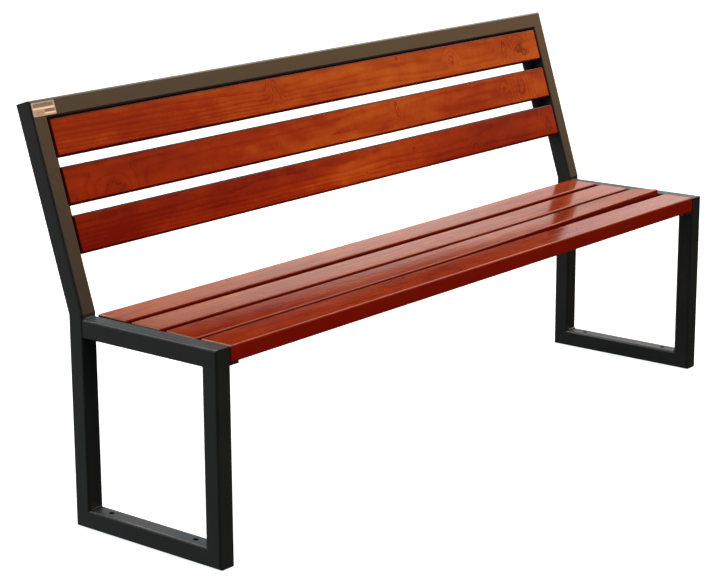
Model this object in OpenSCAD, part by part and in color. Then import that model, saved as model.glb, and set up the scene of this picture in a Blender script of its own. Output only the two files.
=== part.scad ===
// Park bench with a square tube frame and timber slats
// X runs along the bench, -Y is the front, Z is up and the ground is z = 0

/* [Frame] */
// Overall length, outside one end frame to outside the other
bench_l = 1800; // [1200:10:2200]
// Height of the top of the seat rails above the ground
seat_h = 446; // [380:1:500]
// Outside width of the square steel tube
tube = 40; // [34:1:50]
// Wall of the square steel tube
wall = 2.5; // [1.5:0.1:4]
// Outside corner radius of the square steel tube
corner_r = 5; // [4.2:0.1:7]
// Angle by which the back leans behind the upright
lean = 17.5; // [8:0.5:25]
// Height of the bend at the front of the rear leg above the seat rail
bend_rise = 9; // [6:0.5:30]

/* [Seat slats] */
// Width of a seat slat, front to back
seat_slat_w = 80; // [60:1:90]
// Thickness of a seat slat
seat_slat_t = 35; // [31:1:38]
// Gap between neighbouring seat slats
seat_gap = 14.5; // [6:0.5:25]
// Height of the slat tops above the seat rails
seat_proud = 1; // [0:0.5:4]
// Clearance from the last seat slat to the plane of the rear legs
seat_rear_gap = 1.5; // [0.5:0.5:10]

/* [Back slats] */
// Height of a back slat, measured along the back
back_slat_w = 80; // [60:1:90]
// Thickness of a back slat
back_slat_t = 35; // [28:1:38]
// Gap between neighbouring back slats
back_gap = 20; // [8:1:35]
// Clearance from the top rail to the first back slat
back_top_gap = 1.5; // [0.5:0.5:8]
// Free length of the back from the last slat down to the bend
back_open = 118.5; // [60:0.5:180]

/* [Timber] */
// Radius of the long edges of every slat
arris_r = 4; // [1.5:0.5:8]
// Clearance from a slat's end to the frame
end_gap = 3; // [1:0.5:6]

/* [Steel flats] */
// Thickness of the flats that carry the slats
flat_t = 5; // [3:0.5:8]
// Width of the flats under the seat slats
seat_flat_w = 25; // [22:1:45]
// Width of the flats behind the back slats
back_flat_w = 32; // [24:1:50]
// Distance from the face of the front leg to the end of a seat flat
seat_flat_inset = 2; // [0:0.5:10]
// Distance from the last back slat's lower edge up to the end of a back flat
back_flat_inset = 5; // [1:0.5:15]

/* [Fasteners] */
// Distance between the two screws in one slat end
screw_pitch = 40; // [24:1:46]
// Shank diameter of the hexagon wood screws
screw_d = 6; // [5:0.1:6.4]
// Length of the screws under the head
screw_l = 34; // [18:1:36]
// Width across flats of the screw heads
head_af = 10; // [9:0.5:11]
// Height of the screw heads
head_h = 4; // [3:0.1:6]
// Outside diameter of the washers
washer_d = 14; // [12.5:0.5:16]
// Thickness of the washers
washer_t = 1.6; // [1:0.1:2.5]
// Clearance on the diameter of a screw's shank in the washer and in the flat
screw_clear = 0.6; // [0.2:0.1:1]
// Clearance on the diameter and at the tip of a screw in its pilot hole
pilot_clear = 0.1; // [0.04:0.02:0.4]

/* [Anchors] */
// Distance between the two anchor holes in one foot rail
anchor_pitch = 235; // [120:5:250]
// Diameter of the anchor holes through both walls of a foot rail
anchor_d = 12; // [8:0.5:16]

/* [Plate] */
// Length of the blank foil plate at the top corner
plate_w = 62; // [40:1:90]
// Thickness of the blank foil plate
plate_t = 0.4; // [0.3:0.1:1]
// Margin from the plate to the rounded edges of the tube
plate_edge = 0.5; // [0:0.5:3]

/* [Hidden] */
$fn = 48;
eps = 1;

seat_slats = 4;
back_slats = 3;
left = -1;
right = 1;

// Plan of an end frame: y is counted from the front face of the front leg
leg_y = seat_slats * seat_slat_w + (seat_slats - 1) * seat_gap + seat_rear_gap;
hoop_d = leg_y + tube;
inner_x = bench_l / 2 - tube;

// Side view: the bend between the rear leg and the back is cut on its bisector
bend_z = seat_h + bend_rise;
bend_drop = tube * tan(lean / 2);
back_slats_l = back_slats * back_slat_w + (back_slats - 1) * back_gap;
back_l = tube + back_top_gap + back_slats_l + back_open;
inner_r = max(corner_r - wall, 0.2);

// The origin lies under the middle of the bench's overall depth
rear_reach = (back_l - corner_r) * sin(lean) + (tube - corner_r) * cos(lean) + corner_r;
mid_y = (leg_y + rear_reach) / 2;

slat_l = 2 * (inner_x - end_gap);
seat_top = seat_h + seat_proud;
seat_flat_top = seat_top - seat_slat_t;
back_flat_end = back_open + back_flat_inset;
pilot_depth = screw_l - washer_t - flat_t + pilot_clear;

frame_colour = [0.16, 0.17, 0.18];
timber_colour = [0.56, 0.17, 0.08];
zinc_colour = [0.72, 0.73, 0.74];
foil_colour = [0.84, 0.78, 0.74];

function seat_slat_y(i) = (i - 1) * (seat_slat_w + seat_gap);
function back_slat_z(i) = back_l - tube - back_top_gap - i * back_slat_w - (i - 1) * back_gap;

// Places its children in the part's own frame, from bench coordinates
module at_bench() {
    translate([0, -mid_y, 0]) children();
}

// Places its children in the plane of the back: y runs to the rear, z up along the back
module at_back() {
    at_bench() translate([0, leg_y, bend_z]) rotate([-lean, 0, 0]) children();
}

// A rectangle with true arcs at its corners
module rounded_rect(w, h, r) {
    translate([r, 0]) square([w - 2 * r, h]);
    translate([0, r]) square([w, h - 2 * r]);
    for (x = [r, w - r], y = [r, h - r]) translate([x, y]) circle(r);
}

// Hollow square tube along Z, from z = 0
module tube_along_z(length) {
    linear_extrude(length) difference() {
        rounded_rect(tube, tube, corner_r);
        translate([wall, wall]) rounded_rect(tube - 2 * wall, tube - 2 * wall, inner_r);
    }
}

// Hollow square tube along Y, from y = 0, with its underside at z = 0
module tube_along_y(length) {
    translate([0, 0, tube]) rotate([-90, 0, 0]) tube_along_z(length);
}

// Hollow square tube along X, from x = 0, with its underside at z = 0
module tube_along_x(length) {
    translate([0, 0, tube]) rotate([0, 90, 0]) tube_along_z(length);
}

// Prism with its outline in the YZ plane, as wide as a tube
module side_prism(points) {
    rotate([90, 0, 90]) linear_extrude(tube) polygon(points);
}

// Prism with its outline in the XZ plane, as deep as a tube
module face_prism(points) {
    translate([0, tube, 0]) rotate([90, 0, 0]) linear_extrude(tube) polygon(points);
}

// Moves an end frame's piece, drawn from x = 0, to the left or the right end
module at_end(side) {
    translate([side == left ? -bench_l / 2 : inner_x, 0, 0]) children();
}

module front_leg(side) {
    color(frame_colour) at_bench() at_end(side) intersection() {
        tube_along_z(seat_h);
        side_prism([[0, 0], [tube, tube], [tube, seat_h - tube], [0, seat_h]]);
    }
}

module rear_leg(side) {
    color(frame_colour) at_bench() at_end(side) intersection() {
        translate([0, leg_y, 0]) tube_along_z(bend_z);
        side_prism([[hoop_d, 0], [leg_y, tube], [leg_y, bend_z], [hoop_d, bend_z - bend_drop]]);
    }
}

module foot_rail(side) {
    color(frame_colour) at_bench() at_end(side) difference() {
        intersection() {
            tube_along_y(hoop_d);
            side_prism([[0, 0], [hoop_d, 0], [leg_y, tube], [tube, tube]]);
        }
        for (y = [hoop_d - anchor_pitch, hoop_d + anchor_pitch] / 2)
            translate([tube / 2, y, -eps]) cylinder(h = tube + 2 * eps, d = anchor_d);
    }
}

module seat_rail(side) {
    color(frame_colour) at_bench() at_end(side) intersection() {
        translate([0, 0, seat_h - tube]) tube_along_y(leg_y);
        side_prism([[0, seat_h], [tube, seat_h - tube], [leg_y, seat_h - tube], [leg_y, seat_h]]);
    }
}

module back_upright(side) {
    miter = side == left ? [back_l, back_l - tube] : [back_l - tube, back_l];
    color(frame_colour) at_back() at_end(side) intersection() {
        tube_along_z(back_l);
        side_prism([[0, 0], [tube, bend_drop], [tube, back_l], [0, back_l]]);
        face_prism([[0, 0], [tube, 0], [tube, miter[1]], [0, miter[0]]]);
    }
}

module seat_flat(side) {
    x = side == left ? -inner_x : inner_x - seat_flat_w;
    color(frame_colour) at_bench() difference() {
        translate([x, seat_flat_inset, seat_flat_top - flat_t])
            cube([seat_flat_w, leg_y - 2 * seat_flat_inset, flat_t]);
        for (i = [1:seat_slats]) at_seat_screws(side, i)
            translate([0, 0, -flat_t - eps])
                cylinder(h = flat_t + 2 * eps, d = screw_d + screw_clear);
    }
}

module back_flat(side) {
    x = side == left ? -inner_x : inner_x - back_flat_w;
    color(frame_colour) at_back() difference() {
        translate([x, back_slat_t, back_flat_end])
            cube([back_flat_w, flat_t, back_l - tube - back_flat_end]);
        for (i = [1:back_slats]) at_back_screws(side, i)
            translate([0, 0, -flat_t - eps])
                cylinder(h = flat_t + 2 * eps, d = screw_d + screw_clear);
    }
}

// Stands its children at a seat slat's two screws, z = 0 at the slat's underside, z into the slat
module at_seat_screws(side, i) {
    y = seat_slat_y(i) + seat_slat_w / 2;
    for (step = [-0.5, 0.5])
        translate([side * (inner_x - seat_flat_w / 2), y + step * screw_pitch, seat_flat_top])
            children();
}

// Stands its children at a back slat's two screws, z = 0 at the slat's rear face, z into the slat
module at_back_screws(side, i) {
    z = back_slat_z(i) + back_slat_w / 2;
    for (step = [-0.5, 0.5])
        translate([side * (inner_x - back_flat_w / 2), back_slat_t, z + step * screw_pitch])
            rotate([90, 0, 0]) children();
}

// Slat along X, centred on x = 0, with its corner at y = 0 and z = 0
module slat(width, thickness) {
    translate([-slat_l / 2, 0, 0]) rotate([90, 0, 90])
        linear_extrude(slat_l) rounded_rect(width, thickness, arris_r);
}

// Blind hole for a screw's shank, cut up from z = 0
module pilot_hole() {
    translate([0, 0, -eps]) cylinder(h = pilot_depth + eps, d = screw_d + pilot_clear);
}

module seat_slat(i) {
    color(timber_colour) at_bench() difference() {
        translate([0, seat_slat_y(i), seat_flat_top]) slat(seat_slat_w, seat_slat_t);
        for (side = [left, right]) at_seat_screws(side, i) pilot_hole();
    }
}

module back_slat(i) {
    color(timber_colour) at_back() difference() {
        translate([0, back_slat_t, back_slat_z(i)]) rotate([90, 0, 0])
            slat(back_slat_w, back_slat_t);
        for (side = [left, right]) at_back_screws(side, i) pilot_hole();
    }
}

// Hexagon wood screw, with its shank up and the washer against the flat above it
module screw() {
    translate([0, 0, -flat_t - washer_t]) {
        cylinder(h = screw_l, d = screw_d);
        translate([0, 0, -head_h]) cylinder(h = head_h, d = head_af / cos(30), $fn = 6);
    }
}

module washer() {
    translate([0, 0, -flat_t - washer_t]) difference() {
        cylinder(h = washer_t, d = washer_d);
        translate([0, 0, -eps]) cylinder(h = washer_t + 2 * eps, d = screw_d + screw_clear);
    }
}

module seat_screws(side) {
    color(zinc_colour) at_bench() for (i = [1:seat_slats]) at_seat_screws(side, i) screw();
}

module back_screws(side) {
    color(zinc_colour) at_back() for (i = [1:back_slats]) at_back_screws(side, i) screw();
}

module seat_washers(side) {
    color(zinc_colour) at_bench() for (i = [1:seat_slats]) at_seat_screws(side, i) washer();
}

module back_washers(side) {
    color(zinc_colour) at_back() for (i = [1:back_slats]) at_back_screws(side, i) washer();
}

module left_front_leg() { front_leg(left); }
module left_rear_leg() { rear_leg(left); }
module left_foot_rail() { foot_rail(left); }
module left_seat_rail() { seat_rail(left); }
module left_back_upright() { back_upright(left); }
module right_front_leg() { front_leg(right); }
module right_rear_leg() { rear_leg(right); }
module right_foot_rail() { foot_rail(right); }
module right_seat_rail() { seat_rail(right); }
module right_back_upright() { back_upright(right); }

module top_rail() {
    color(frame_colour) at_back() intersection() {
        translate([-bench_l / 2, 0, back_l - tube]) tube_along_x(bench_l);
        face_prism([
            [-bench_l / 2, back_l], [-inner_x, back_l - tube],
            [inner_x, back_l - tube], [bench_l / 2, back_l]
        ]);
    }
}

// Blank foil plate on the front of the left top corner
module corner_plate() {
    plate_h = tube - 2 * corner_r - 2 * plate_edge;
    color(foil_colour) at_back()
        translate([-bench_l / 2 + corner_r, -plate_t, back_l - corner_r - plate_edge - plate_h])
            cube([plate_w, plate_t, plate_h]);
}

module left_seat_flat() { seat_flat(left); }
module right_seat_flat() { seat_flat(right); }
module left_back_flat() { back_flat(left); }
module right_back_flat() { back_flat(right); }

module seat_slat_1() { seat_slat(1); }
module seat_slat_2() { seat_slat(2); }
module seat_slat_3() { seat_slat(3); }
module seat_slat_4() { seat_slat(4); }
module back_slat_1() { back_slat(1); }
module back_slat_2() { back_slat(2); }
module back_slat_3() { back_slat(3); }

module left_seat_screws() { seat_screws(left); }
module right_seat_screws() { seat_screws(right); }
module left_back_screws() { back_screws(left); }
module right_back_screws() { back_screws(right); }
module left_seat_washers() { seat_washers(left); }
module right_seat_washers() { seat_washers(right); }
module left_back_washers() { back_washers(left); }
module right_back_washers() { back_washers(right); }

left_front_leg();
left_rear_leg();
left_foot_rail();
left_seat_rail();
left_back_upright();
right_front_leg();
right_rear_leg();
right_foot_rail();
right_seat_rail();
right_back_upright();
top_rail();
left_seat_flat();
right_seat_flat();
left_back_flat();
right_back_flat();
seat_slat_1();
seat_slat_2();
seat_slat_3();
seat_slat_4();
back_slat_1();
back_slat_2();
back_slat_3();
left_seat_screws();
right_seat_screws();
left_back_screws();
right_back_screws();
left_seat_washers();
right_seat_washers();
left_back_washers();
right_back_washers();
corner_plate();
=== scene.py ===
"""Looks of the park bench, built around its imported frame.

The steel tubes and flats are the frame's own nodes and get their finish here. The timber slats, the
fasteners and the foil plate are modelled again in full detail, and weld beads join the steel.
"""

import logging
import math
from dataclasses import dataclass, field, replace
from enum import Enum
from typing import Any, Optional, Sequence, Union

import bmesh
import bpy
from mathutils import Matrix, Vector


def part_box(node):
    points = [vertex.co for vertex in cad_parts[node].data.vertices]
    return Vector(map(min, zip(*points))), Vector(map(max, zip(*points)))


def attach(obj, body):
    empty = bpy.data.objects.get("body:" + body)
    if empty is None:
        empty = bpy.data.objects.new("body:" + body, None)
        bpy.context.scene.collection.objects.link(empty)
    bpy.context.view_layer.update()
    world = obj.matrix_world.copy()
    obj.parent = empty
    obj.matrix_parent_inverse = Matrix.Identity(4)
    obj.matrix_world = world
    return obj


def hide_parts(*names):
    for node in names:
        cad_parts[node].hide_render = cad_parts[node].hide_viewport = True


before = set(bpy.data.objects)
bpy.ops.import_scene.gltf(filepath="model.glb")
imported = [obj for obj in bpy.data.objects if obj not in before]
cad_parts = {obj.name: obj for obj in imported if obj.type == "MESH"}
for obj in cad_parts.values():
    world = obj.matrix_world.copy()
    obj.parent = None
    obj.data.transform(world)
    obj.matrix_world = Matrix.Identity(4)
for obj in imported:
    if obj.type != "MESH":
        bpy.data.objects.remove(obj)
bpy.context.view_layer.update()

LOG = logging.getLogger("park_bench")
BODY = "root"
MM = 0.001

Colour = tuple[float, float, float]
Point = tuple[float, float, float]
Span = tuple[float, float]
Stops = Sequence[tuple[float, Colour]]
Key = Union[str, int]
Material = bpy.types.Material
Shape = bmesh.types.BMesh


class Side(Enum):
    """The two ends of the bench, by the sign of their X."""

    LEFT = -1
    RIGHT = 1

    @property
    def word(self) -> str:
        """The side's word in the names of nodes."""
        return self.name.lower()


class Deck(Enum):
    """The two decks of slats, by their words in the names of nodes."""

    SEAT = "seat"
    BACK = "back"


class Finish(Enum):
    """The names of the material slots."""

    PAINT = "frame_paint"
    TIMBER = "slat_timber"
    ZINC = "zinc"
    FOIL = "foil"


@dataclass(frozen=True)
class Plan:
    """Sizes of the bench in metres, from its middle, its front face and the ground."""

    length: float = 1.8
    tube: float = 0.040
    corner_r: float = 0.005
    seat_h: float = 0.446
    leg_y: float = 0.365
    bend_z: float = 0.455
    lean: float = math.radians(17.5)
    back_l: float = 0.440
    middle_y: float = 0.2670936
    flat_t: float = 0.005
    slat_t: float = 0.035
    slat_w: float = 0.080

    @property
    def inner_x(self) -> float:
        """Distance from the bench's middle to the inner face of an end frame."""
        return self.length / 2 - self.tube

    @property
    def seat_flat_z(self) -> float:
        """Height of the underside of the flats below the seat."""
        return self.seat_h + MM - self.slat_t - self.flat_t

    @property
    def bench(self) -> Matrix:
        """From bench coordinates to the row frame."""
        return Matrix.Translation((0, -self.middle_y, 0))

    @property
    def back(self) -> Matrix:
        """From the plane of the back, y to the rear and z up along it, to the row frame."""
        lift = Matrix.Translation((0, self.leg_y, self.bend_z))
        return self.bench @ lift @ Matrix.Rotation(-self.lean, 4, "X")

    @property
    def back_face_tilt(self) -> float:
        """The turn about X that lays a face's own z along the front of the back."""
        return math.pi / 2 - self.lean


PLAN = Plan()


class Signal:
    """A shader socket that takes part in Python arithmetic."""

    def __init__(self, shader: "Shader", socket: bpy.types.NodeSocket) -> None:
        """Keeps an output socket and the shader that it belongs to."""
        self.shader = shader
        self.socket = socket

    def __add__(self, other: "Number") -> "Signal":
        """self + other."""
        return self.shader.math("ADD", self, other)

    __radd__ = __add__

    def __mul__(self, other: "Number") -> "Signal":
        """self * other."""
        return self.shader.math("MULTIPLY", self, other)

    __rmul__ = __mul__

    def __sub__(self, other: "Number") -> "Signal":
        """self - other."""
        return self.shader.math("SUBTRACT", self, other)

    def __rsub__(self, other: "Number") -> "Signal":
        """other - self."""
        return self.shader.math("SUBTRACT", other, self)

    def __truediv__(self, other: "Number") -> "Signal":
        """self / other."""
        return self.shader.math("DIVIDE", self, other)

    def __rtruediv__(self, other: "Number") -> "Signal":
        """other / self."""
        return self.shader.math("DIVIDE", other, self)


Number = Union[float, Signal]


@dataclass(frozen=True)
class Grain:
    """Noise with a spacing of its own on each axis, and its weight in the tone."""

    per_metre: Point
    detail: float
    weight: float = 0.0


class Shader:
    """The node tree of one material or of the world, written as expressions."""

    def __init__(self, owner: Union[Material, bpy.types.World]) -> None:
        """Empties the owner's node tree.

        Args:
            owner: The new material or world.
        """
        owner.use_nodes = True
        self.owner = owner
        self.tree = owner.node_tree
        self.tree.nodes.clear()

    def node(
        self, kind: str, settings: Optional[dict[str, Any]] = None,
        inputs: Optional[dict[Key, Any]] = None, output: Key = 0,
    ) -> Signal:
        """Adds one node.

        Args:
            kind: The node's type.
            settings: The node's own settings, set before its sockets. "stops" are a ramp's stops.
            inputs: Values or signals for its sockets, by name or number.
            output: The output socket to hand back.

        Returns:
            The chosen output as a signal.
        """
        made = self.tree.nodes.new(kind)
        for key, value in (settings or {}).items():
            if key == "stops":
                self._set_stops(made.color_ramp, value)
            else:
                setattr(made, key, value)
        for key, value in (inputs or {}).items():
            socket = made.inputs[key]
            if isinstance(value, Signal):
                self.tree.links.new(value.socket, socket)
            elif isinstance(value, tuple) and socket.type == "RGBA":
                socket.default_value = (*value, 1.0)
            else:
                socket.default_value = value
        return Signal(self, made.outputs[output] if made.outputs else None)

    @staticmethod
    def _set_stops(ramp: bpy.types.ColorRamp, stops: Stops) -> None:
        """Gives a ramp its stops.

        Args:
            ramp: The ramp of a new node, which has two stops.
            stops: Places and colours, from low to high.
        """
        while len(ramp.elements) < len(stops):
            ramp.elements.new(0.5)
        for element, (place, colour) in zip(ramp.elements, stops):
            element.position = place
            element.color = (*colour, 1.0)

    def math(self, operation: str, *values: Number) -> Signal:
        """One Math node on the given values."""
        return self.node("ShaderNodeMath", {"operation": operation}, dict(enumerate(values)))

    def vector(self, operation: str, first: Signal, second: Any, output: str = "Vector") -> Signal:
        """One Vector Math node on a vector signal and another vector."""
        inputs = {0: first, 1: second}
        return self.node("ShaderNodeVectorMath", {"operation": operation}, inputs, output)

    def towards(self, vector: Signal, aim: Any) -> Signal:
        """How far a vector goes along an aim."""
        return self.vector("DOT_PRODUCT", vector, aim, "Value")

    def axis(self, vector: Signal, name: str) -> Signal:
        """One coordinate of a vector."""
        return self.node("ShaderNodeSeparateXYZ", None, {0: vector}, name)

    def normal(self) -> Signal:
        """The direction that the surface faces."""
        return self.node("ShaderNodeNewGeometry", output="Normal")

    def ramp(self, value: Signal, stops: Stops) -> Signal:
        """The colour that a value has between stops."""
        return self.node("ShaderNodeValToRGB", {"stops": stops}, {"Fac": value})

    def mix(self, factor: Number, low: Any, high: Any, blend: str = "MIX") -> Signal:
        """Mixes two colours: the low one where the factor is 0, the high one where it is 1."""
        settings = {"data_type": "RGBA", "blend_type": blend}
        return self.node("ShaderNodeMix", settings, {0: factor, 6: low, 7: high}, 2)

    def smooth(self, value: Number, start: float, end: float) -> Signal:
        """Rises softly from 0 at start to 1 at end."""
        inputs = {"Value": value, "From Min": start, "From Max": end}
        return self.node("ShaderNodeMapRange", {"interpolation_type": "SMOOTHSTEP"}, inputs)

    def place(self, origin: Point = (0, 0, 0), tilt: float = 0.0) -> Signal:
        """Object coordinates, measured from an origin and turned about X.

        Args:
            origin: The point that becomes zero, in the row frame.
            tilt: The turn of the new axes about X, in radians.

        Returns:
            The coordinates in metres.
        """
        own = self.node("ShaderNodeTexCoord", output="Object")
        inputs = {"Vector": own, "Location": origin, "Rotation": (tilt, 0, 0)}
        return self.node("ShaderNodeMapping", {"vector_type": "TEXTURE"}, inputs)

    def noise(self, place: Signal, per_metre: float = 1.0, detail: float = 2.0) -> Signal:
        """Smooth noise from 0 to 1."""
        inputs = {"Vector": place, "Scale": per_metre, "Detail": detail}
        return self.node("ShaderNodeTexNoise", None, inputs)

    def grain(self, place: Signal, grain: Grain) -> Signal:
        """Noise from 0 to 1 with the spacing of a grain."""
        return self.noise(self.vector("MULTIPLY", place, grain.per_metre), 1.0, grain.detail)

    def bump(self, height: Signal, distance: float, below: Optional[Signal] = None) -> Signal:
        """A normal that follows a height.

        Args:
            height: The height, from 0 to 1.
            distance: How far 1 stands out, in metres.
            below: The normal that this one is laid on.

        Returns:
            The bumped normal.
        """
        inputs: dict[Key, Any] = {"Height": height, "Distance": distance}
        if below is not None:
            inputs["Normal"] = below
        return self.node("ShaderNodeBump", None, inputs)

    def surface(self, **sockets: Any) -> Material:
        """Ends a material with a Principled shader.

        Args:
            sockets: Values or signals of its sockets, with _ for each space in their names.

        Returns:
            The material.
        """
        named = {key.replace("_", " "): value for key, value in sockets.items()}
        closure = self.node("ShaderNodeBsdfPrincipled", None, named, "BSDF")
        self.node("ShaderNodeOutputMaterial", None, {"Surface": closure})
        return self.owner


def new_shader(name: str) -> Shader:
    """An empty material with its shader."""
    return Shader(bpy.data.materials.new(name))


@dataclass(frozen=True)
class PowderCoat:
    """Graphite powder coat with a fine orange peel. Its upper faces carry a cool blue tint, partly
    a breath of dust and partly painted cool sky light.
    """

    colour: Colour = (0.0172, 0.023, 0.026)
    worn: Colour = (0.0225, 0.0283, 0.0305)
    # The cool blue of the upper faces, partly dust and partly painted sky light.
    dust: Colour = (0.024, 0.074, 0.102)
    clouds_per_metre: float = 9.0
    worn_span: Span = (0.3, 0.8)
    dust_span: Span = (0.22, 0.62)
    dust_facing: Span = (0.75, 1.0)
    dust_cover: float = 0.90
    roughness: float = 0.30
    cloud_roughness: float = 0.10
    dust_roughness: float = 0.20
    ior: float = 1.62
    peel_per_metre: float = 700.0
    peel_depth: float = 0.09 * MM

    def material(self) -> Material:
        """Mixes the paint of every steel part.

        Returns:
            The material.
        """
        shader = new_shader("powder_coat")
        place = shader.place()
        clouds = shader.noise(place, self.clouds_per_metre, detail=4.0)
        peel = shader.noise(place, self.peel_per_metre, detail=1.0)
        upward = shader.smooth(shader.axis(shader.normal(), "Z"), *self.dust_facing)
        # Upward faces mix toward the cool blue: partly dust, partly painted sky light on the tops.
        dust_and_sky_mask = upward * shader.smooth(clouds, *self.dust_span)
        tone = shader.mix(shader.smooth(clouds, *self.worn_span), self.colour, self.worn)
        uneven = (clouds - 0.5) * self.cloud_roughness
        return shader.surface(
            Base_Color=shader.mix(dust_and_sky_mask * self.dust_cover, tone, self.dust),
            Roughness=self.roughness + uneven + dust_and_sky_mask * self.dust_roughness,
            IOR=self.ior,
            Normal=shader.bump(peel, self.peel_depth),
        )


@dataclass(frozen=True)
class Knot:
    """A knot on the show face of a board, from the face's middle.

    Its rim, its heart, its ragged edge and how far it bends the rings are in radii of the knot.
    """

    x: float
    y: float
    radius: float
    squeeze: float = 0.8
    fill: float = 0.25
    rim: Span = (1.20, 1.00)
    heart: Span = (0.95, 0.70)
    ragged: float = 3.0
    bend: float = 1.4
    bend_reach: float = 4.5

    def draw(
        self, shader: Shader, along: Signal, across: Signal, crumble: Signal, broken: Signal
    ) -> tuple[Signal, Signal]:
        """Draws the knot.

        Args:
            shader: The shader of its board.
            along: The coordinate along the board.
            across: The coordinate across the board.
            crumble: Fine noise around 0, for the ragged edge.
            broken: Where the dark rim is whole, from 0 to 1.

        Returns:
            How far the knot bends the rings, in metres, and how dark it is.
        """
        away_x = (along - self.x) * self.squeeze
        away_y = across - self.y
        away = shader.math("SQRT", away_x * away_x + away_y * away_y)
        bend = shader.smooth(away, self.radius * self.bend_reach, 0.0) * (self.radius * self.bend)
        edge = away + crumble * (self.radius * self.ragged)
        rim = shader.smooth(edge, *(self.radius * reach for reach in self.rim))
        heart = shader.smooth(edge, *(self.radius * reach for reach in self.heart))
        return bend, (rim - heart) * broken + rim * self.fill


@dataclass(frozen=True)
class Patch:
    """A stretch of a board that took the glaze lighter or darker."""

    x: float
    reach: float
    tone: float
    ragged: float = 0.4

    def draw(self, shader: Shader, along: Signal, blotch: Signal) -> Signal:
        """The change of tone, with a border that follows the blotches."""
        off = shader.math("ABSOLUTE", along + (blotch - 0.5) * self.ragged - self.x)
        return shader.smooth(off, self.reach, 0.0) * self.tone


@dataclass(frozen=True)
class TimberGlaze:
    """Mahogany glaze on softwood: rings and knots show through, under a clear gloss."""

    deep: Colour = (0.25, 0.006, 0.0008)
    body: Colour = (0.46, 0.038, 0.0022)
    light: Colour = (0.74, 0.148, 0.011)
    knot: Colour = (0.24, 0.013, 0.0012)
    # The pale tan of the painted highlight on the upper arrises at the board ends.
    worn: Colour = (0.64, 0.33, 0.21)
    wander: Grain = Grain((1.6, 9.0, 9.0), 3.0, 0.022)
    crumble: Grain = Grain((75.0, 55.0, 55.0), 3.0)
    blotch: Grain = Grain((3.0, 14.0, 14.0), 3.0, 0.80)
    mottle: Grain = Grain((16.0, 34.0, 34.0), 3.0, 0.60)
    nap: Grain = Grain((110.0, 75.0, 75.0), 2.0, 0.15)
    streak: Grain = Grain((1.1, 60.0, 60.0), 2.0, 0.30)
    fibre: Grain = Grain((9.0, 900.0, 900.0), 3.0, 0.16)
    # How far the tone drops on the sides and turned-away arrises: painted shade.
    painted_side_shade: float = 0.10
    knot_whole: Span = (-0.18, 0.02)
    knot_cover: float = 0.80
    ring: float = 5.2 * MM
    pith_dive: float = 0.4
    late_rise: Span = (0.35, 0.92)
    late_fall: Span = (1.0, 0.93)
    late_tone: float = 0.14
    # Reach, ragged border and facing of the painted end highlight.
    lit_end_reach: Span = (3.5 * MM, 1.0 * MM)
    lit_end_ragged: float = 2.0 * MM
    lit_end_facing: Span = (0.20, 0.50)
    gloss: float = 0.13
    uneven_gloss: float = 0.08
    late_gloss: float = 0.02
    fibre_relief: float = 0.6
    late_relief: float = 0.4
    relief: float = 0.05 * MM

    def material(self, board: "Board") -> Material:
        """The glaze of one board, with a figure of its own.

        Args:
            board: The board that it is for.

        Returns:
            The material.
        """
        shader = new_shader(f"glaze_{board.node}")
        place = shader.place(tuple(board.middle), board.tilt)
        moved = shader.vector("ADD", place, board.sample)
        along, across, depth = (shader.axis(place, name) for name in "XYZ")
        crumble = shader.grain(moved, self.crumble) - 0.5
        broken = shader.smooth(crumble, *self.knot_whole)
        bends: Number = 0.0
        dark: Number = 0.0
        for knot in board.knots:
            bend, core = knot.draw(shader, along, across, crumble, broken)
            bends, dark = bend + bends, core + dark
        pith_y, pith_z, drift = board.pith
        off_y = across + along * drift - pith_y
        off_z = depth + along * (drift * self.pith_dive) - pith_z
        reach = shader.math("SQRT", off_y * off_y + off_z * off_z)
        wander = shader.grain(moved, self.wander) * self.wander.weight
        year = shader.math("FRACT", (reach + bends + wander) / self.ring)
        late = shader.smooth(year, *self.late_rise) * shader.smooth(year, *self.late_fall)
        look = board.look
        # Painted shade: the sides and rounded arrises, which turn away from the show face, drop in
        # tone and mix toward the board's dark edge colour, for the dark gaps between boards and the
        # dark lines along their edges.
        out = Matrix.Rotation(board.tilt, 3, "X") @ Vector((0, 0, 1))
        outward = shader.towards(shader.normal(), out)
        side = shader.smooth(shader.math("ABSOLUTE", outward), *look.shade_span)
        layers = (self.blotch, self.mottle, self.nap, self.streak, self.fibre)
        noises = [shader.grain(moved, layer) for layer in layers]
        blotch, _, nap, _, fibre = noises
        tone = board.tone + along * board.fade
        for layer, noise in zip(layers, noises):
            tone = tone + (noise - 0.5) * layer.weight
        tone = tone - side * self.painted_side_shade
        for patch in board.patches:
            tone = tone + patch.draw(shader, along, blotch)
        stops = [(0.0, self.deep), (0.5, self.body), (1.0, self.light)]
        tint = shader.ramp(tone - late * self.late_tone, stops)
        base = shader.mix(dark * self.knot_cover, tint, self.knot)
        base = shader.mix(side * look.shade, base, look.edge)
        # Painted highlight: near both ends the upward-facing arrises turn pale tan.
        far = shader.math("ABSOLUTE", along) + crumble * self.lit_end_ragged
        lit_end = shader.smooth(far, *(board.length / 2 - reach for reach in self.lit_end_reach))
        lit_end = lit_end * shader.smooth(outward, *self.lit_end_facing)
        uneven = (fibre - 0.5) * self.uneven_gloss
        cloudy = (blotch - 0.5) * self.uneven_gloss
        relief = fibre * self.fibre_relief + late * self.late_relief
        return shader.surface(
            Base_Color=shader.mix(lit_end * look.worn_ends, base, self.worn),
            Roughness=self.gloss + uneven + cloudy + late * self.late_gloss,
            IOR=look.ior,
            Normal=shader.bump(relief, self.relief, shader.bump(nap, look.nap)),
        )


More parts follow.
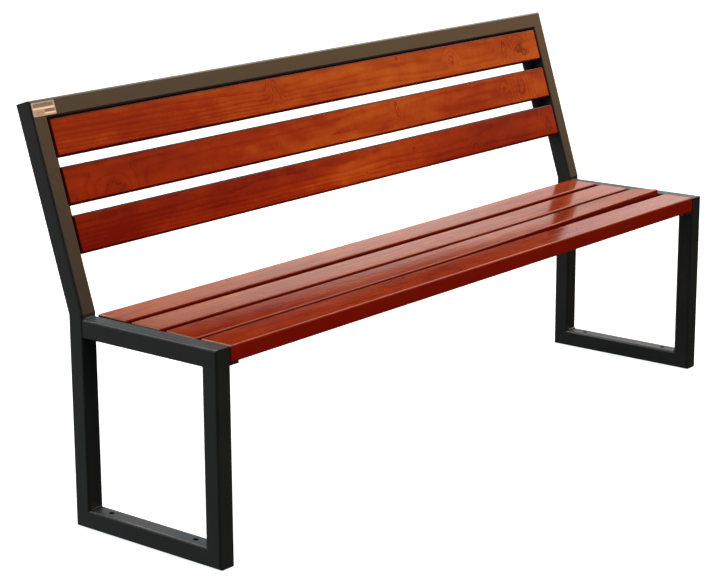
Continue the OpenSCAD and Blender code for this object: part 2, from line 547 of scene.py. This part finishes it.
@dataclass(frozen=True)
class ZincPlating:
    """Bright zinc on the fasteners, with faint clouds and turning marks."""

    colour: Colour = (0.62, 0.63, 0.65)
    stained: Colour = (0.42, 0.42, 0.43)
    clouds_per_metre: float = 160.0
    stain_span: Span = (0.35, 0.70)
    marks_per_metre: float = 2600.0
    mark_depth: float = 0.02 * MM
    roughness: float = 0.30
    cloud_roughness: float = 0.3

    def material(self) -> Material:
        """Mixes the finish of the screws and washers.

        Returns:
            The material.
        """
        shader = new_shader("zinc_plating")
        place = shader.place()
        clouds = shader.noise(place, self.clouds_per_metre, detail=4.0)
        marks = shader.noise(place, self.marks_per_metre, detail=2.0)
        stain = shader.smooth(clouds, *self.stain_span)
        return shader.surface(
            Base_Color=shader.mix(stain, self.colour, self.stained),
            Metallic=1.0,
            Roughness=self.roughness + (clouds - 0.5) * self.cloud_roughness,
            Normal=shader.bump(marks, self.mark_depth),
        )


@dataclass(frozen=True)
class Bar:
    """A plain rectangle with soft edges on the face of the plate, by its middle and half sizes."""

    x: float
    y: float
    half_w: float
    half_h: float
    soft: float = 0.4 * MM

    def mask(self, shader: Shader, place: Signal) -> Signal:
        """Draws the rectangle.

        Args:
            shader: The shader that it is part of.
            place: The coordinates on the plate.

        Returns:
            1 inside the rectangle and 0 outside.
        """
        soft = self.soft
        off_x = shader.math("ABSOLUTE", shader.axis(place, "X") - self.x)
        off_y = shader.math("ABSOLUTE", shader.axis(place, "Y") - self.y)
        in_x = shader.smooth(off_x, self.half_w + soft, self.half_w - soft)
        return in_x * shader.smooth(off_y, self.half_h + soft, self.half_h - soft)


@dataclass(frozen=True)
class FoilFace:
    """Rosy silver foil with blank darker fields between bright stripes."""

    size: Span = (0.062, 0.029)
    foil: Colour = (0.66, 0.65, 0.66)
    bright: Colour = (1.0, 1.0, 1.0)
    field_tint: Colour = (0.15, 0.09, 0.07)
    stained: Colour = (0.70, 0.34, 0.16)
    stripes: Sequence[Bar] = (Bar(0.0, 0.001, 0.029, 0.0019), Bar(0.014, -0.0098, 0.015, 0.0014))
    fields: Sequence[Bar] = (Bar(0.0, 0.0078, 0.0265, 0.0038), Bar(0.015, -0.0042, 0.013, 0.003))
    stain: Bar = Bar(-0.0110, -0.0085, 0.0125, 0.0045)
    stripe_cover: float = 0.9
    field_cover: Span = (0.35, 0.95)
    speckle_per_metre: float = 520.0
    speckle_span: Span = (0.35, 0.65)
    creases: Grain = Grain((90.0, 220.0, 90.0), 3.0)
    crease_depth: float = 0.3 * MM
    roughness: float = 0.34
    crease_roughness: float = 0.2
    metal: Span = (0.15, 0.90)

    def material(self, middle: Vector, tilt: float) -> Material:
        """The finish of the plate.

        Args:
            middle: The middle of the plate in the row frame.
            tilt: The turn of its face about X, in radians.

        Returns:
            The material.
        """
        shader = new_shader("foil_face")
        place = shader.place(tuple(middle), tilt)
        creases = shader.grain(place, self.creases)
        speckle = shader.noise(place, self.speckle_per_metre, detail=2.0)
        speckle = shader.smooth(speckle, *self.speckle_span)
        stripes, fields = (
            sum(bar.mask(shader, place) for bar in bars) for bars in (self.stripes, self.fields)
        )
        least, most = self.field_cover
        fields = fields * (least + speckle * (most - least))
        tone = shader.mix(self.stain.mask(shader, place) * creases, self.foil, self.stained)
        tone = shader.mix(stripes * self.stripe_cover, tone, self.bright)
        dull, shiny = self.metal
        return shader.surface(
            Base_Color=shader.mix(fields, tone, self.field_tint),
            Metallic=dull + stripes * (shiny - dull),
            Roughness=self.roughness + (creases - 0.5) * self.crease_roughness,
            Normal=shader.bump(creases, self.crease_depth),
        )


def add_piece(
    name: str,
    shape: Shape,
    material: Material,
    stands_for: Sequence[str] = (),
    sharp: float = 40.0,
) -> bpy.types.Object:
    """Turns a finished shape into a piece of the bench.

    Args:
        name: The piece's name.
        shape: Its shape in the row frame, which is freed.
        material: Its material.
        stands_for: The frame's nodes that it replaces.
        sharp: The angle in degrees from which an edge is shaded sharp.

    Returns:
        The new object.
    """
    bmesh.ops.recalc_face_normals(shape, faces=shape.faces)
    mesh = bpy.data.meshes.new(name)
    shape.to_mesh(mesh)
    shape.free()
    mesh.shade_smooth()
    mesh.set_sharp_from_angle(angle=math.radians(sharp))
    mesh.materials.append(material)
    piece = bpy.data.objects.new(name, mesh)
    bpy.context.scene.collection.objects.link(piece)
    even = piece.modifiers.new("even_shading", "WEIGHTED_NORMAL")
    even.keep_sharp = True
    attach(piece, BODY)
    if stands_for:
        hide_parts(*stands_for)
    LOG.info("%s: %d faces", name, len(mesh.polygons))
    return piece


def paint_node(node: str, material: Material) -> None:
    """Gives a node of the frame its material.

    Args:
        node: The node's name.
        material: The material for all its slots.
    """
    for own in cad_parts[node].material_slots:
        own.material = material
    LOG.info("%s: dressed", node)


def round_off(
    shape: Shape, geom: Sequence[Any], offset: float, steps: int, affect: str = "EDGES"
) -> None:
    """Bevels the given edges, or the given corners of a face, with a round profile."""
    bmesh.ops.bevel(
        shape, geom=geom, offset=offset, offset_type="OFFSET", affect=affect, segments=steps,
        profile=0.5, material=-1,
    )


@dataclass(frozen=True)
class BoardLook:
    """How boards of one kind are rounded, how deep the painted shade on their sides and arrises is,
    their gloss, and how much painted highlight lies on their ends.
    """

    arris: float = 5.5 * MM
    # How far the sides and arrises mix toward the edge colour, and over which turn from the show
    # face: painted shade.
    shade: float = 0.9
    shade_span: Span = (0.998, 0.93)
    # The dark colour of that painted shade.
    edge: Colour = (0.060, 0.0016, 0.0004)
    ior: float = 1.18
    # How much of the pale painted highlight lies on the upper arrises at the ends.
    worn_ends: float = 0.0
    nap: float = 0.02 * MM


@dataclass
class Board:
    """One timber slat. Its own axes are x along it, y across its show face and z out of that face.

    The pith is the trunk's middle, by its y, its z and its drift along the board. The swell is how
    much thicker the board is at its left end, its middle and its right end.
    """

    node: str
    tilt: float
    sample: Point
    pith: Point
    tone: float = 0.5
    # How much the tone rises per metre towards the right end.
    fade: float = 0.0
    knots: Sequence[Knot] = ()
    patches: Sequence[Patch] = ()
    look: BoardLook = BoardLook()
    sag: float = 0.0
    crook: float = 0.0
    roll: float = 0.0
    twist: float = 0.0
    swell: tuple[float, float, float] = (0.0, 0.0, 0.0)
    swell_from: float = 0.45
    swell_run: float = 0.4
    length: float = 1.7176
    width: float = PLAN.slat_w
    thickness: float = PLAN.slat_t
    arris_steps: int = 4
    lengths: int = 47
    middle: Vector = field(init=False)

    def __post_init__(self) -> None:
        """Finds the board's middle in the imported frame."""
        low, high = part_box(self.node)
        self.middle = (low + high) / 2

    def build(self, glaze: TimberGlaze) -> bpy.types.Object:
        """Planes the board, rounds its edges, lets it warp and lays it in its place.

        Args:
            glaze: The finish of the timber.

        Returns:
            The board's piece.
        """
        shape = bmesh.new()
        size = Matrix.Diagonal((self.length, self.width, self.thickness, 1.0))
        bmesh.ops.create_cube(shape, size=1.0, matrix=size)
        round_off(shape, shape.edges[:], self.look.arris, self.arris_steps)
        long_edges = [e for e in shape.edges if e.calc_length() > self.length / 2]
        bmesh.ops.subdivide_edges(shape, edges=long_edges, cuts=self.lengths, use_grid_fill=True)
        for vert in shape.verts:
            vert.co = self._warped(vert.co)
        lay = Matrix.Translation(self.middle) @ Matrix.Rotation(self.tilt, 4, "X")
        bmesh.ops.transform(shape, matrix=lay, verts=shape.verts)
        material = glaze.material(self)
        return add_piece(
            f"{self.node}_board", shape, material, [self.node], sharp=50.0
        )

    def _warped(self, point: Vector) -> Vector:
        """Moves a point of the straight board to where the warped one has it.

        Args:
            point: The point in the board's own axes.

        Returns:
            The moved point. Both ends stay on what carries them.
        """
        share = 2 * point.x / self.length
        belly = 1 - share * share
        left, middle, right = self.swell
        rise = middle + (left - middle) * share * share
        if share > 0:
            reach = min(max((share - self.swell_from) / self.swell_run, 0.0), 1.0)
            rise = middle + (right - middle) * reach * reach * (3 - 2 * reach)
        turned = point + Vector((0, 0, rise * (point.z / self.thickness + 0.5)))
        angle = self.roll * max(-share, 0.0) + self.twist * max(share, 0.0)
        heel = Vector((point.x, self.width / 2, -self.thickness / 2))
        turned = heel + Matrix.Rotation(-angle, 3, "X") @ (turned - heel)
        return turned + Vector((0, self.crook * belly, self.sag * belly))


@dataclass
class TimberDeck:
    """The four slats of the seat and the three slats of the back."""

    seat_glaze: TimberGlaze = TimberGlaze(
        deep=(0.225, 0.01, 0.001), body=(0.405, 0.042, 0.002), light=(0.66, 0.125, 0.009)
    )
    back_glaze: TimberGlaze = TimberGlaze()
    # The seat's sides and arrises get a dark red painted shade, and their ends a painted highlight.
    seat_look: BoardLook = BoardLook(
        arris=4.0 * MM, shade=0.92, shade_span=(0.92, 0.55), edge=(0.155, 0.0035, 0.0006),
        ior=1.27, worn_ends=0.85, nap=0.25 * MM,
    )

    def build(self) -> None:
        """Makes every board."""
        for board in self._seat():
            board.build(self.seat_glaze)
        for board in self._back():
            board.build(self.back_glaze)

    def _seat(self) -> list[Board]:
        """Picks the seat's boards.

        Returns:
            The boards, from the front.
        """
        look = self.seat_look
        # The front board's front face mixes almost fully toward a deep red: painted shade.
        front = replace(look, shade=0.85, edge=(0.285, 0.0090, 0.0022), ior=1.30)
        bent = replace(look, ior=1.25)
        return [
            Board(
                "seat_slat_1", 0.0, (3.1, 0.4, 0.2), (0.012, -0.085, 0.016), 0.33, 0.12,
                knots=(Knot(-0.33, 0.012, 0.006),), look=front,
                crook=0.3 * MM, swell=(0.0, 0.0, 1.2 * MM),
            ),
            Board(
                "seat_slat_2", 0.0, (7.7, 1.9, 0.6), (-0.020, -0.070, -0.021), 0.48, 0.18,
                look=bent, sag=-1.0 * MM, roll=math.radians(-1.7), twist=math.radians(7.0),
                swell=(0.3 * MM, 0.0, 1.6 * MM),
            ),
            Board(
                "seat_slat_3", 0.0, (11.3, 3.3, 1.1), (0.030, -0.110, 0.012), 0.62, -0.02,
                look=look, sag=-1.4 * MM, swell=(1.0 * MM, 0.0, 2.2 * MM),
            ),
            Board(
                "seat_slat_4", 0.0, (15.9, 5.1, 1.7), (-0.006, -0.060, -0.018), 0.60, -0.04,
                look=look, swell=(2.4 * MM, 0.8 * MM, 3.0 * MM),
            ),
        ]

    @staticmethod
    def _back() -> list[Board]:
        """Picks the back's boards.

        Returns:
            The boards, from the top.
        """
        tilt = PLAN.back_face_tilt
        # The tones are darker towards the bottom board and lighter towards the right.
        return [
            Board(
                "back_slat_1", tilt, (21.2, 7.4, 2.3), (0.034, -0.075, 0.030), 0.69, 0.22,
                knots=(
                    Knot(-0.178, 0.018, 0.012, 1.6, 0.15), Knot(0.271, 0.031, 0.004, 1.0, 0.6),
                    Knot(0.482, 0.004, 0.008, 0.9, 0.1), Knot(0.707, 0.004, 0.020, 2.2, 0.05),
                    Knot(0.770, 0.001, 0.012, 0.8, 0.45), Knot(0.792, -0.013, 0.008, 0.5, 0.45),
                ),
                patches=(Patch(0.20, 0.40, 0.12), Patch(0.86, 0.20, 0.14)),
                crook=0.4 * MM,
            ),
            Board(
                "back_slat_2", tilt, (27.8, 9.2, 2.9), (-0.010, -0.095, -0.016), 0.51, 0.22,
                knots=(
                    Knot(-0.727, -0.026, 0.014, 0.5, 0.3), Knot(0.229, 0.008, 0.020, 3.0, 0.05),
                    Knot(0.670, 0.004, 0.006, 0.9, 0.3), Knot(0.745, 0.000, 0.016, 1.0, 0.05),
                ),
                patches=(Patch(0.12, 0.40, 0.30),),
                crook=-0.3 * MM,
            ),
            Board(
                "back_slat_3", tilt, (33.5, 11.7, 3.7), (0.022, -0.065, 0.022), 0.29, 0.16,
                knots=(
                    Knot(0.066, -0.018, 0.003, 1.0, 0.5), Knot(0.258, 0.010, 0.003, 1.0, 0.5),
                    Knot(0.395, 0.033, 0.004, 0.8, 0.6), Knot(0.498, -0.014, 0.005, 0.7, 0.5),
                    Knot(0.822, -0.010, 0.014, 1.0, 0.5),
                ),
                patches=(Patch(0.11, 0.36, 0.34), Patch(0.62, 0.22, -0.14)),
                crook=0.2 * MM,
            ),
        ]


@dataclass
class WeldBead:
    """A rippled bead laid along a straight line of the row frame."""

    start: Vector
    end: Vector
    radius: float
    sides: int = 10
    step: float = 0.9 * MM
    least_steps: int = 6
    ripple: float = 0.10
    ripple_steps: int = 4
    end_girth: float = 0.45
    girth_gain: float = 0.28

    def lay(self, shape: Shape) -> None:
        """Adds the bead to a shape.

        Args:
            shape: The shape that collects the beads of one piece.
        """
        run = self.end - self.start
        aim = run.to_track_quat("Z", "Y").to_matrix().to_4x4()
        steps = max(self.least_steps, round(run.length / self.step))
        first = bmesh.ops.create_circle(
            shape, segments=self.sides, radius=self.radius * self._girth(0, steps),
            matrix=Matrix.Translation(self.start) @ aim,
        )["verts"]
        ring = list({e for v in first for e in v.link_edges})
        rims = [ring]
        for count in range(1, steps + 1):
            grown = bmesh.ops.extrude_edge_only(shape, edges=ring)["geom"]
            ring = [e for e in grown if isinstance(e, bmesh.types.BMEdge)
                    and all(v in grown for v in e.verts)]
            verts = [v for v in grown if isinstance(v, bmesh.types.BMVert)]
            change = self._girth(count, steps) / self._girth(count - 1, steps)
            here = Matrix.Translation(self.start + run * ((count - 1) / steps)) @ aim
            bmesh.ops.scale(shape, vec=(change, change, 1.0), space=here.inverted(), verts=verts)
            bmesh.ops.translate(shape, vec=run / steps, verts=verts)
        rims.append(ring)
        for rim in rims:
            bmesh.ops.contextual_create(shape, geom=rim)

    def _girth(self, count: int, steps: int) -> float:
        """Finds how thick the bead is at one ring.

        Args:
            count: The ring's number from the start.
            steps: The number of the last ring.

        Returns:
            The girth as a share of the bead's radius.
        """
        wave = 1 + self.ripple * math.cos(math.tau * count / self.ripple_steps)
        near_end = min(count, steps - count)
        return wave * min(1.0, self.end_girth + self.girth_gain * near_end)


@dataclass
class EndFrame:
    """One end of the bench: four tubes in a closed loop, the leaning upright and two flats."""

    side: Side
    paint: Material
    tubes: tuple[str, ...] = ("front_leg", "rear_leg", "foot_rail", "seat_rail", "back_upright")
    flats: tuple[str, ...] = ("seat_flat", "back_flat")
    corner_bead: float = 3.4 * MM
    corner_sunk: float = 0.30
    top_bead_share: float = 0.55
    top_bead_rise: float = 0.4 * MM
    rail_bead_drop: float = 0.6 * MM
    stitch_bead: float = 2.1 * MM
    stitch_l: float = 0.030
    seat_stitch_y: tuple[float, ...] = (0.045, 0.135, 0.230, 0.322)
    seat_stitch_off: float = 0.2 * MM
    back_stitch_z: tuple[float, ...] = (0.150, 0.215, 0.305, 0.375)
    back_stitch_off: Span = (0.6 * MM, 0.9 * MM)

    def build(self) -> None:
        """Paints the frame's own nodes and lays the welds."""
        for part in self.tubes + self.flats:
            paint_node(f"{self.side.word}_{part}", self.paint)
        shape = bmesh.new()
        for bead in self._corner_beads() + self._stitches():
            bead.lay(shape)
        add_piece(f"{self.side.word}_frame_welds", shape, self.paint, sharp=80.0)

    def _corner_beads(self) -> list[WeldBead]:
        """Plans the beads across the flat part of the tubes' faces.

        Returns:
            Those in the loop's inner corners, on top of the rear joint and under the top rail.
        """
        sunk = self.corner_bead * self.corner_sunk
        low, high = PLAN.tube + sunk, PLAN.seat_h - PLAN.tube - sunk
        front, rear = PLAN.tube + sunk, PLAN.leg_y - sunk
        corners = ((front, low), (rear, low), (front, high), (rear, high))
        places = [(PLAN.bench, y, z, self.corner_bead) for y, z in corners]
        thin = self.corner_bead * self.top_bead_share
        places.append((PLAN.bench, rear, PLAN.seat_h + self.top_bead_rise, thin))
        under_z = PLAN.back_l - PLAN.tube - self.rail_bead_drop
        places.append((PLAN.back, PLAN.tube / 2, under_z, self.stitch_bead))
        reach = (PLAN.length / 2 - PLAN.corner_r, PLAN.inner_x + PLAN.corner_r)
        return [
            WeldBead(*(at @ Vector((self.side.value * x, y, z)) for x in reach), radius)
            for at, y, z, radius in places
        ]

    def _stitches(self) -> list[WeldBead]:
        """Plans the short beads that hold the flats to the seat rail and to the upright.

        Returns:
            The seat's beads from the front, then the back's from the bottom.
        """
        side, half = self.side.value, self.stitch_l / 2
        x = side * (PLAN.inner_x - self.seat_stitch_off)
        z = PLAN.seat_flat_z - self.seat_stitch_off
        seat = [[PLAN.bench @ Vector((x, y + s * half, z)) for s in (-1, 1)]
                for y in self.seat_stitch_y]
        off_x, off_y = self.back_stitch_off
        x, y = side * (PLAN.inner_x + off_x), PLAN.slat_t + PLAN.flat_t - off_y
        back = [[PLAN.back @ Vector((x, y, z + s * half)) for s in (-1, 1)]
                for z in self.back_stitch_z]
        return [WeldBead(*ends, self.stitch_bead) for ends in seat + back]


@dataclass
class TopRail:
    """The tube that joins the uprights."""

    paint: Material

    def build(self) -> None:
        """Paints the rail."""
        paint_node("top_rail", self.paint)


@dataclass(frozen=True)
class ScrewPlan:
    """Where the screws of one deck stand on the rear or the underside of its flats.

    Its x runs along the bench, its y across the boards and its z out of their show faces.
    """

    deck: Deck
    at: Matrix
    board_starts: tuple[float, ...]
    inset: float
    flat_z: float
    half_pitch: float = 0.020

    def spots(self, side: Side) -> list[Point]:
        """Finds the screws of one end.

        Args:
            side: The end of the bench.

        Returns:
            Two points for each board, on the face of the flat.
        """
        x = side.value * (PLAN.inner_x - self.inset)
        middles = [start + PLAN.slat_w / 2 for start in self.board_starts]
        return [(x, y + s * self.half_pitch, self.flat_z) for y in middles for s in (-1, 1)]


SEAT_SCREWS = ScrewPlan(
    deck=Deck.SEAT, at=PLAN.bench, board_starts=(0.0, 0.0945, 0.1890, 0.2835),
    inset=0.0125, flat_z=PLAN.seat_flat_z,
)
BACK_SCREWS = ScrewPlan(
    deck=Deck.BACK, at=PLAN.back @ Matrix.Rotation(math.pi / 2, 4, "X"),
    board_starts=(0.3185, 0.2185, 0.1185), inset=0.016, flat_z=-PLAN.slat_t - PLAN.flat_t,
)


@dataclass
class Fasteners:
    """The screws and washers that hold one end of the seat's or the back's boards."""

    side: Side
    plan: ScrewPlan
    zinc: Material
    shank_r: float = 3.0 * MM
    shank_l: float = 34.0 * MM
    tip_share: float = 0.1
    head_af: float = 10.0 * MM
    head_h: float = 4.0 * MM
    head_bevel: float = 0.55 * MM
    washer_r: float = 7.0 * MM
    washer_bore_r: float = 3.3 * MM
    washer_t: float = 1.6 * MM
    washer_bevel: float = 0.25 * MM
    hex_steps: int = 6
    round_steps: int = 28

    def build(self) -> None:
        """Makes the screws and the washers, one piece of each."""
        for kind, maker in (("screws", self._screw), ("washers", self._washer)):
            node = f"{self.side.word}_{self.plan.deck.value}_{kind}"
            shape = bmesh.new()
            for x, y, z in self.plan.spots(self.side):
                one = maker()
                lay = self.plan.at @ Matrix.Translation((x, y, z - self.washer_t))
                bmesh.ops.transform(one, matrix=lay, verts=one.verts)
                joined = bpy.data.meshes.new("spare")
                one.to_mesh(joined)
                one.free()
                shape.from_mesh(joined)
                bpy.data.meshes.remove(joined)
            add_piece(f"{node}_set", shape, self.zinc, [node], sharp=30.0)

    def _screw(self) -> Shape:
        """Forges a hexagon wood screw.

        Returns:
            The screw, with its head below z = 0 and its shank pointing up.
        """
        shape = bmesh.new()
        corner_r = self.head_af / math.cos(math.pi / self.hex_steps) / 2
        self._length(shape, self.hex_steps, corner_r, corner_r, -self.head_h, 0.0)
        under = [e for e in shape.edges if all(v.co.z < -self.head_h / 2 for v in e.verts)]
        round_off(shape, under, self.head_bevel, 2)
        sides, radius, tip = self.round_steps // 2, self.shank_r, self.tip_share * self.shank_r
        neck = self.shank_l - radius * 2
        self._length(shape, sides, radius, radius, 0.0, neck)
        self._length(shape, sides, radius, tip, neck, self.shank_l)
        return shape

    @staticmethod
    def _length(
        shape: Shape, sides: int, low_r: float, high_r: float, low: float, high: float
    ) -> None:
        """Adds one closed length of a screw, from low to high."""
        bmesh.ops.create_cone(
            shape, cap_ends=True, segments=sides, radius1=low_r, radius2=high_r,
            depth=high - low, matrix=Matrix.Translation((0, 0, (low + high) / 2)),
        )

    def _washer(self) -> Shape:
        """Turns a plain washer with softened rims.

        Returns:
            The washer, above z = 0.
        """
        shape = bmesh.new()
        soft = self.washer_bevel
        inner, outer, high = self.washer_bore_r, self.washer_r, self.washer_t
        outline = [
            (inner, soft), (inner + soft, 0.0), (outer - soft, 0.0), (outer, soft),
            (outer, high - soft), (outer - soft, high), (inner + soft, high), (inner, high - soft),
        ]
        verts = [shape.verts.new((x, 0.0, z)) for x, z in outline]
        edges = [shape.edges.new((a, b)) for a, b in zip(verts, verts[1:] + verts[:1])]
        bmesh.ops.spin(
            shape, geom=verts + edges, cent=(0, 0, 0), axis=(0, 0, 1), dvec=(0, 0, 0),
            angle=math.tau, steps=self.round_steps, use_merge=True,
        )
        return shape


@dataclass
class CornerPlate:
    """The blank foil plate on the front of the left top corner."""

    face: FoilFace = FoilFace()
    thickness: float = 0.4 * MM
    corner: float = 2.0 * MM
    corner_steps: int = 5
    border: float = 1.1 * MM
    press_w: float = 0.3 * MM
    press_depth: float = 0.12 * MM
    tilt: float = PLAN.back_face_tilt
    node: str = "corner_plate"

    def build(self) -> None:
        """Cuts the plate, presses its border and lays it on the tube."""
        low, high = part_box(self.node)
        middle = (low + high) / 2
        shape = bmesh.new()
        width, height = self.face.size
        corners = [(-1, -1), (1, -1), (1, 1), (-1, 1)]
        verts = [shape.verts.new((x * width / 2, y * height / 2, 0)) for x, y in corners]
        shape.faces.new(verts)
        round_off(shape, verts, self.corner, self.corner_steps, "VERTICES")
        top = bmesh.ops.extrude_face_region(shape, geom=shape.faces[:])["geom"]
        lifted = [v for v in top if isinstance(v, bmesh.types.BMVert)]
        bmesh.ops.translate(shape, vec=(0, 0, self.thickness), verts=lifted)
        bmesh.ops.translate(shape, vec=(0, 0, -self.thickness / 2), verts=shape.verts)
        face = [f for f in top if isinstance(f, bmesh.types.BMFace)]
        for inset, rise in ((self.border, 0.0), (self.press_w, -self.press_depth)):
            bmesh.ops.inset_region(
                shape, faces=face, thickness=inset, depth=rise, use_even_offset=True
            )
        lay = Matrix.Translation(middle) @ Matrix.Rotation(self.tilt, 4, "X")
        bmesh.ops.transform(shape, matrix=lay, verts=shape.verts)
        material = self.face.material(middle, self.tilt)
        add_piece(f"{self.node}_foil", shape, material, [self.node], sharp=25.0)


@dataclass
class PhotoCamera:
    """The camera, where the photograph was taken from in bench coordinates."""

    photo: tuple[int, int] = (714, 586)
    focal_px: float = 2100.979
    centre_px: Span = (285.889, 290.277)
    azimuth: float = math.radians(-49.003)
    elevation: float = math.radians(14.332)
    roll: float = math.radians(-0.775)
    spot_mm: Point = (-3695.817, -2606.452, 1538.165)
    sensor: float = 36.0

    def build(self) -> None:
        """Sets the camera up."""
        turn = (
            Matrix.Rotation(self.azimuth, 4, "Z")
            @ Matrix.Rotation(math.pi / 2 - self.elevation, 4, "X")
            @ Matrix.Rotation(self.roll, 4, "Z")
        )
        width, height = self.photo
        data = bpy.data.cameras.new("camera")
        data.sensor_fit = "HORIZONTAL"
        data.sensor_width = self.sensor
        data.lens = self.focal_px / width * self.sensor
        data.shift_x = (width / 2 - self.centre_px[0]) / width
        data.shift_y = (self.centre_px[1] - height / 2) / width
        camera = bpy.data.objects.new("camera", data)
        bpy.context.scene.collection.objects.link(camera)
        camera.matrix_world = PLAN.bench @ Matrix.Translation(Vector(self.spot_mm) * MM) @ turn
        bpy.context.scene.camera = camera


@dataclass
class PaperFloor:
    """A plain pale floor, which gives the bench shadows but no reflections."""

    radius: float = 300.0
    sides: int = 64
    tone: Colour = (0.86, 0.88, 0.89)
    roughness: float = 0.9
    glow: Colour = (0.90, 0.97, 1.03)
    lift: float = 0.75

    def build(self) -> None:
        """Lays the floor."""
        shape = bmesh.new()
        bmesh.ops.create_circle(shape, cap_ends=True, segments=self.sides, radius=self.radius)
        mesh = bpy.data.meshes.new("floor")
        shape.to_mesh(mesh)
        shape.free()
        paper = new_shader("floor_paper").surface(
            Base_Color=self.tone, Roughness=self.roughness,
            Emission_Color=self.glow, Emission_Strength=self.lift,
        )
        mesh.materials.append(paper)
        floor = bpy.data.objects.new("floor", mesh)
        bpy.context.scene.collection.objects.link(floor)
        floor.visible_glossy = False
        floor.visible_diffuse = False


@dataclass
class SoftSky:
    """Soft light from above and behind, with a warm glow from the front right.

    Each span is where one tone gives way to the next, by height, by rear or by right.
    """

    backdrop: Colour = (1.0, 1.0, 1.0)
    high: Colour = (0.47, 0.47, 0.46)
    middle: Colour = (0.54, 0.54, 0.53)
    rear: Colour = (1.42, 1.35, 1.17)
    low: Colour = (0.74, 0.57, 0.48)
    front: Colour = (0.08, 0.045, 0.030)
    under: Colour = (0.019, 0.019, 0.018)
    under_left: Colour = (0.25, 0.26, 0.26)
    rear_to_middle: Span = (0.20, 0.265)
    rear_to_low: Span = (0.208, 0.135)
    middle_to_high: Span = (0.45, 0.75)
    front_to_high: Span = (0.35, 0.75)
    front_to_rear: Span = (-0.25, 0.15)
    under_rear: Span = (0.56, 0.67)
    under_side: Span = (0.0, -0.3)
    glow: Colour = (1.75, 1.02, 0.50)
    glow_from: Point = (0.708, -0.553, 0.438)
    glow_span: Span = (0.72, 0.97)
    skyline: Point = (0.057, 0.359, 0.932)
    skyline_span: Span = (-0.03, 0.03)
    horizon_span: Span = (-0.06, 0.0)
    rear_shares: Stops = (
        (0.505, (1.32, 1.24, 1.28)), (0.530, (1.05, 0.98, 1.04)), (0.555, (1.08, 1.05, 1.08)),
        (0.61, (1.28, 1.28, 1.30)), (0.65, (1.20, 1.12, 1.07)), (0.70, (0.62, 0.58, 0.53)),
    )

    def build(self) -> None:
        """Paints the world, white to the camera and graded for the bench."""
        world = bpy.data.worlds.new("soft_box")
        bpy.context.scene.world = world
        shader = Shader(world)
        toward = shader.node("ShaderNodeTexCoord", output="Generated")
        right, rear, height = (shader.axis(toward, name) for name in "XYZ")
        behind = shader.mix(shader.smooth(height, *self.rear_to_middle), self.rear, self.middle)
        behind = shader.mix(shader.smooth(height, *self.rear_to_low), behind, self.low)
        behind = shader.mix(shader.smooth(height, *self.middle_to_high), behind, self.high)
        behind = shader.mix(1.0, behind, shader.ramp(rear, self.rear_shares), "MULTIPLY")
        ahead = shader.mix(shader.smooth(height, *self.front_to_high), self.front, self.high)
        sky = shader.mix(shader.smooth(rear, *self.front_to_rear), ahead, behind)
        near_glow = shader.smooth(shader.towards(toward, self.glow_from), *self.glow_span)
        sky = shader.mix(near_glow, sky, self.glow)
        leftward = shader.smooth(rear, *self.under_rear) * shader.smooth(right, *self.under_side)
        ground = shader.mix(leftward, self.under, self.under_left)
        clear = shader.smooth(shader.towards(toward, self.skyline), *self.skyline_span)
        light = shader.mix(clear * shader.smooth(height, *self.horizon_span), ground, sky)
        seen = shader.node("ShaderNodeLightPath", output="Is Camera Ray")
        tone = shader.mix(seen, light, self.backdrop)
        background = shader.node("ShaderNodeBackground", None, {"Color": tone, "Strength": 1.0})
        shader.node("ShaderNodeOutputWorld", None, {"Surface": background})


@dataclass(frozen=True)
class Panel:
    """One soft rectangular light that faces the bench."""

    name: str
    spot: Point
    size: Span
    watts: float
    colour: Colour
    mirrored: bool = True
    target: Point = (0.0, 0.0, 0.5)

    def build(self) -> None:
        """Hangs the light."""
        data = bpy.data.lights.new(self.name, "AREA")
        data.shape = "RECTANGLE"
        data.size, data.size_y = self.size
        data.energy = self.watts
        data.color = self.colour
        light = bpy.data.objects.new(self.name, data)
        bpy.context.scene.collection.objects.link(light)
        light.visible_glossy = self.mirrored
        light.location = self.spot
        aim = Vector(self.target) - Vector(self.spot)
        light.rotation_euler = aim.to_track_quat("-Z", "Y").to_euler()


@dataclass
class Studio:
    """The camera, the floor and the light."""

    panels: tuple[Panel, ...] = (
        Panel("side_panel", (5.2, 0.6, 5.0), (2.8, 3.6), 140.0, (1.0, 0.90, 0.78)),
        Panel("rim_panel", (-0.4, 3.0, 3.4), (3.4, 0.7), 55.0, (0.94, 0.97, 1.0)),
        Panel("front_panel", (-0.3, -4.2, 1.3), (2.6, 1.4), 40.0, (1.0, 0.93, 0.86), False),
    )

    def build(self) -> None:
        """Sets the stage."""
        PhotoCamera().build()
        PaperFloor().build()
        SoftSky().build()
        for panel in self.panels:
            panel.build()
        bpy.context.scene.view_settings.view_transform = "Standard"


def main() -> None:
    """Builds the stage and the bench."""
    logging.basicConfig(level=logging.INFO, format="%(name)s: %(message)s")
    Studio().build()
    paint = PowderCoat().material()
    zinc = ZincPlating().material()
    for side in Side:
        EndFrame(side, paint).build()
        Fasteners(side, SEAT_SCREWS, zinc).build()
        Fasteners(side, BACK_SCREWS, zinc).build()
    TopRail(paint).build()
    TimberDeck().build()
    CornerPlate().build()


if __name__ == "__main__":
    main()
